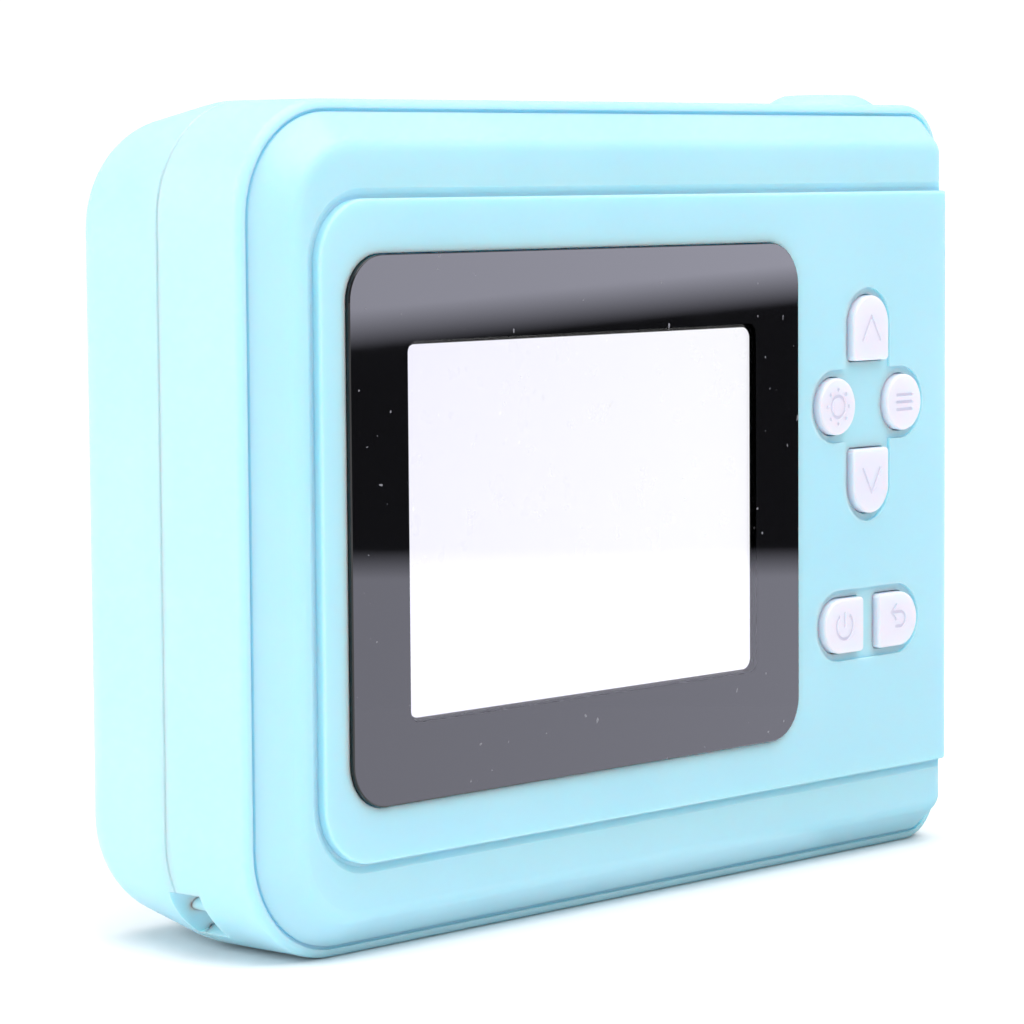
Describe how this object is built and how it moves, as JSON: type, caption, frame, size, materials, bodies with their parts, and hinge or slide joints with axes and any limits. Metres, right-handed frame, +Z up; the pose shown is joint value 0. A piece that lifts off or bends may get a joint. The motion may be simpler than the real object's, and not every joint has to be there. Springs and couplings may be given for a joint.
{
  "type": "kids digital camera",
  "caption": "Pocket-size toy camera in two pale blue shells, with a rear screen, sprung keys, a top shutter button and a hinged port cover.",
  "frame": {"origin": "bottom centre of the whole camera's box, on the surface that it stands on", "axes": "+X to the right seen from the screen side, +Y from the screen to the lens, +Z up"},
  "size_m": [0.108, 0.0346, 0.0838],
  "materials": {
    "shell_plastic": "fine satin moulded ABS, pale aqua blue",
    "key_plastic": "satin pale lavender",
    "window": "polished, black printed border",
    "screen": "lit liquid crystal panel",
    "adhesive": "foam tape",
    "board": "glass-fibre laminate with solder mask",
    "chip_plastic": "moulded package",
    "white_plastic": "natural nylon",
    "black_plastic": "matt black",
    "steel": "plated",
    "battery_film": "laminated pouch",
    "flex_film": "amber polyimide",
    "lead_sleeve": "insulated wire",
    "ring_plastic": "gloss pale lavender",
    "clear": "clear",
    "flash_clear": "frosted clear",
    "led": "phosphor"
  },
  "bodies": {
    "case": {"rear_shell": "shell_plastic", "front_shell": "shell_plastic", "lanyard_post": "shell_plastic", "display_window": "window", "window_adhesive": "adhesive", "display_panel": "screen", "display_frame": "white_plastic", "display_flex": "flex_film", "main_board": "board", "processor_chip": "chip_plastic", "memory_chip": "chip_plastic", "power_chip": "chip_plastic", "board_screws": "steel", "frame_screws": "steel", "case_screws": "steel", "battery_cell": "battery_film", "battery_pad": "adhesive", "battery_connector": "white_plastic", "battery_leads": "lead_sleeve", "card_socket": "steel", "usb_socket": "steel", "speaker": "black_plastic", "microphone": "chip_plastic", "speaker_leads": "lead_sleeve", "flash_leads": "lead_sleeve", "microphone_leads": "lead_sleeve", "camera_sensor": "black_plastic", "lens_barrel": "black_plastic", "lens_element": "clear", "lens_holder": "black_plastic", "lens_ring": "ring_plastic", "lens_cover": "clear", "sensor_flex": "flex_film", "flash_led": "led", "flash_lens": "flash_clear", "up_switch": "black_plastic", "down_switch": "black_plastic", "left_switch": "black_plastic", "right_switch": "black_plastic", "power_switch": "black_plastic", "back_switch": "black_plastic", "shutter_switch": "black_plastic"},
    "up_key": {"up_key": "key_plastic", "up_plunger": "black_plastic"},
    "down_key": {"down_key": "key_plastic", "down_plunger": "black_plastic"},
    "left_key": {"left_key": "key_plastic", "left_plunger": "black_plastic"},
    "right_key": {"right_key": "key_plastic", "right_plunger": "black_plastic"},
    "power_key": {"power_key": "key_plastic", "power_plunger": "black_plastic"},
    "back_key": {"back_key": "key_plastic", "back_plunger": "black_plastic"},
    "shutter": {"shutter_button": "shell_plastic", "shutter_plunger": "black_plastic"},
    "port_cover": {"port_cover": "shell_plastic"}
  },
  "joints": [
    {"name": "up_key_press", "type": "slide", "parent": "case", "child": "up_key", "axis": [0, 1, 0], "range_m": [0, 0.0003], "stiffness_N_per_m": 3000, "springref_m": -0.0001},
    {"name": "down_key_press", "type": "slide", "parent": "case", "child": "down_key", "axis": [0, 1, 0], "range_m": [0, 0.0003], "stiffness_N_per_m": 3000, "springref_m": -0.0001},
    {"name": "left_key_press", "type": "slide", "parent": "case", "child": "left_key", "axis": [0, 1, 0], "range_m": [0, 0.0003], "stiffness_N_per_m": 3000, "springref_m": -0.0001},
    {"name": "right_key_press", "type": "slide", "parent": "case", "child": "right_key", "axis": [0, 1, 0], "range_m": [0, 0.0003], "stiffness_N_per_m": 3000, "springref_m": -0.0001},
    {"name": "power_key_press", "type": "slide", "parent": "case", "child": "power_key", "axis": [0, 1, 0], "range_m": [0, 0.0003], "stiffness_N_per_m": 3000, "springref_m": -0.0001},
    {"name": "back_key_press", "type": "slide", "parent": "case", "child": "back_key", "axis": [0, 1, 0], "range_m": [0, 0.0003], "stiffness_N_per_m": 3000, "springref_m": -0.0001},
    {"name": "shutter_press", "type": "slide", "parent": "case", "child": "shutter", "axis": [0, 0, -1], "range_m": [0, 0.0003], "stiffness_N_per_m": 3000, "springref_m": -0.0001},
    {"name": "port_cover_hinge", "type": "hinge", "parent": "case", "child": "port_cover", "pos_m": [0.0529, -0.00907, 0.035], "axis": [0, 0, -1], "range_deg": [0, 95]}
  ]
}
